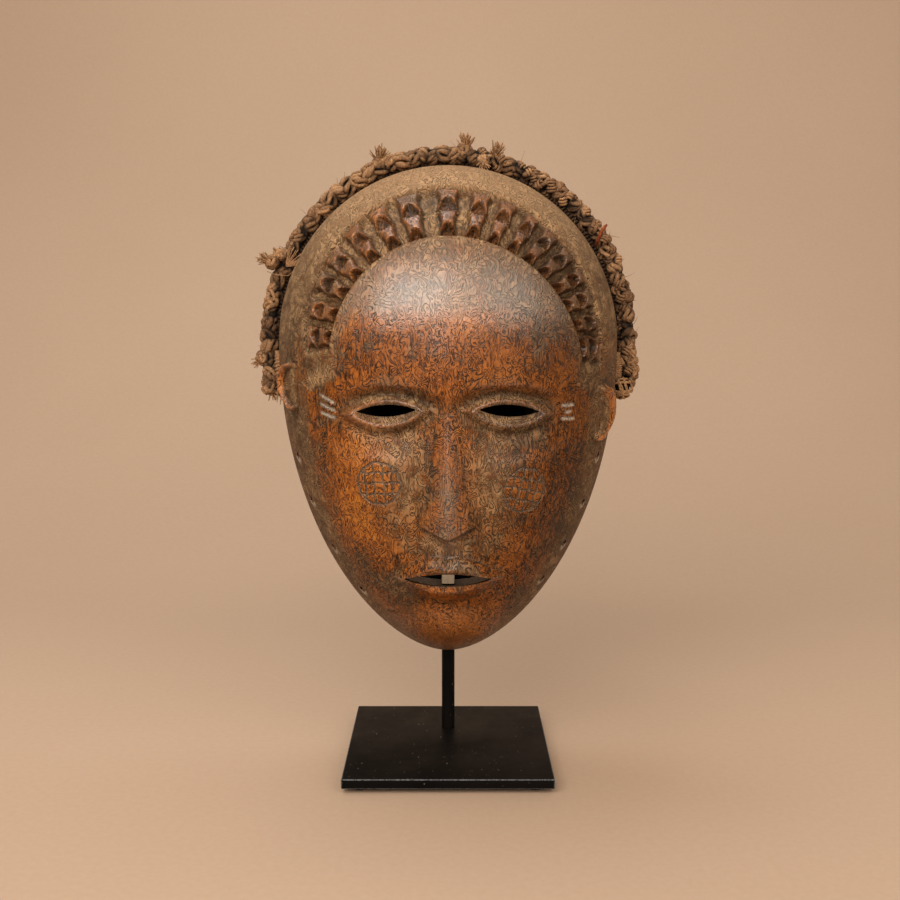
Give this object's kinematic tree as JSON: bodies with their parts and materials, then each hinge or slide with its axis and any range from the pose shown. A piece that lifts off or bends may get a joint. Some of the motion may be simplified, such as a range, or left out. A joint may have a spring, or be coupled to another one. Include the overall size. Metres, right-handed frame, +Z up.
{
  "type": "carved wooden face mask on a display stand",
  "caption": "Hollow carved wooden face mask with a faceted coiffure band and a knotted fibre trim, carried on a post behind it over a square steel base.",
  "frame": {"origin": "under the middle of the whole, at the level of the feet's soles", "axes": "+Z up along the post, the mask faces -Y, +X to the right as seen from the front"},
  "size_m": [0.2086, 0.1322, 0.3287],
  "materials": {
    "carved_wood": "dark patinated wood, rubbed to a soft shine on the raised parts and dusty in the hollows",
    "plant_fibre": "knotted plant fibre, dry, grey-brown and frayed",
    "black_steel": "satin black paint, worn on the edges and dusty",
    "brown_felt": "matt felt",
    "pale_felt": "matt felt",
    "black_rubber": "matt"
  },
  "bodies": {
    "root": {"mask": "carved_wood", "fibre_trim": "plant_fibre", "stand_base": "black_steel", "stand_post": "black_steel", "head_plate": "black_steel", "plate_felt": "brown_felt", "post_pad": "pale_felt", "stand_foot_1": "black_rubber", "stand_foot_2": "black_rubber", "stand_foot_3": "black_rubber", "stand_foot_4": "black_rubber"}
  },
  "joints": []
}
